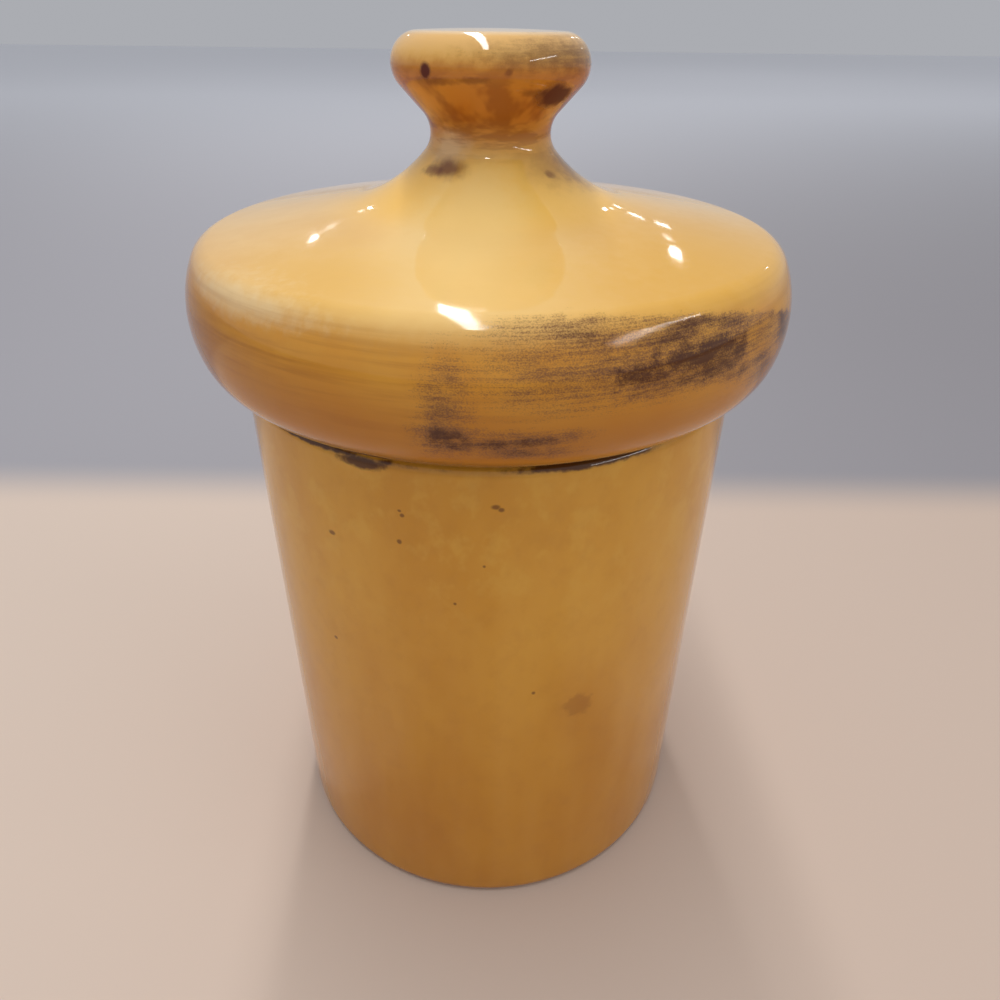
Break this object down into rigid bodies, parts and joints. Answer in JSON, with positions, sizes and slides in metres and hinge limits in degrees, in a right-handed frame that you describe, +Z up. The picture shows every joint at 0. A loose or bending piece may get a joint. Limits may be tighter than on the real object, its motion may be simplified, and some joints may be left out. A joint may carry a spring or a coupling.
{
  "type": "ceramic tea canister",
  "caption": "Glazed ceramic tea canister: a straight-sided round jar, shut by an overhanging bun-shaped lid with a waisted knob.",
  "frame": {"origin": "middle of the underside of the foot, on the axis", "axes": "+Z up the axis of jar and lid; the side with the most marks in the glaze faces -Y"},
  "size_m": [0.1276, 0.1276, 0.1949],
  "materials": {
    "jar_glaze": "glossy",
    "lid_glaze": "glossy"
  },
  "bodies": {
    "root": {"jar": "jar_glaze", "lid": "lid_glaze"}
  },
  "joints": []
}
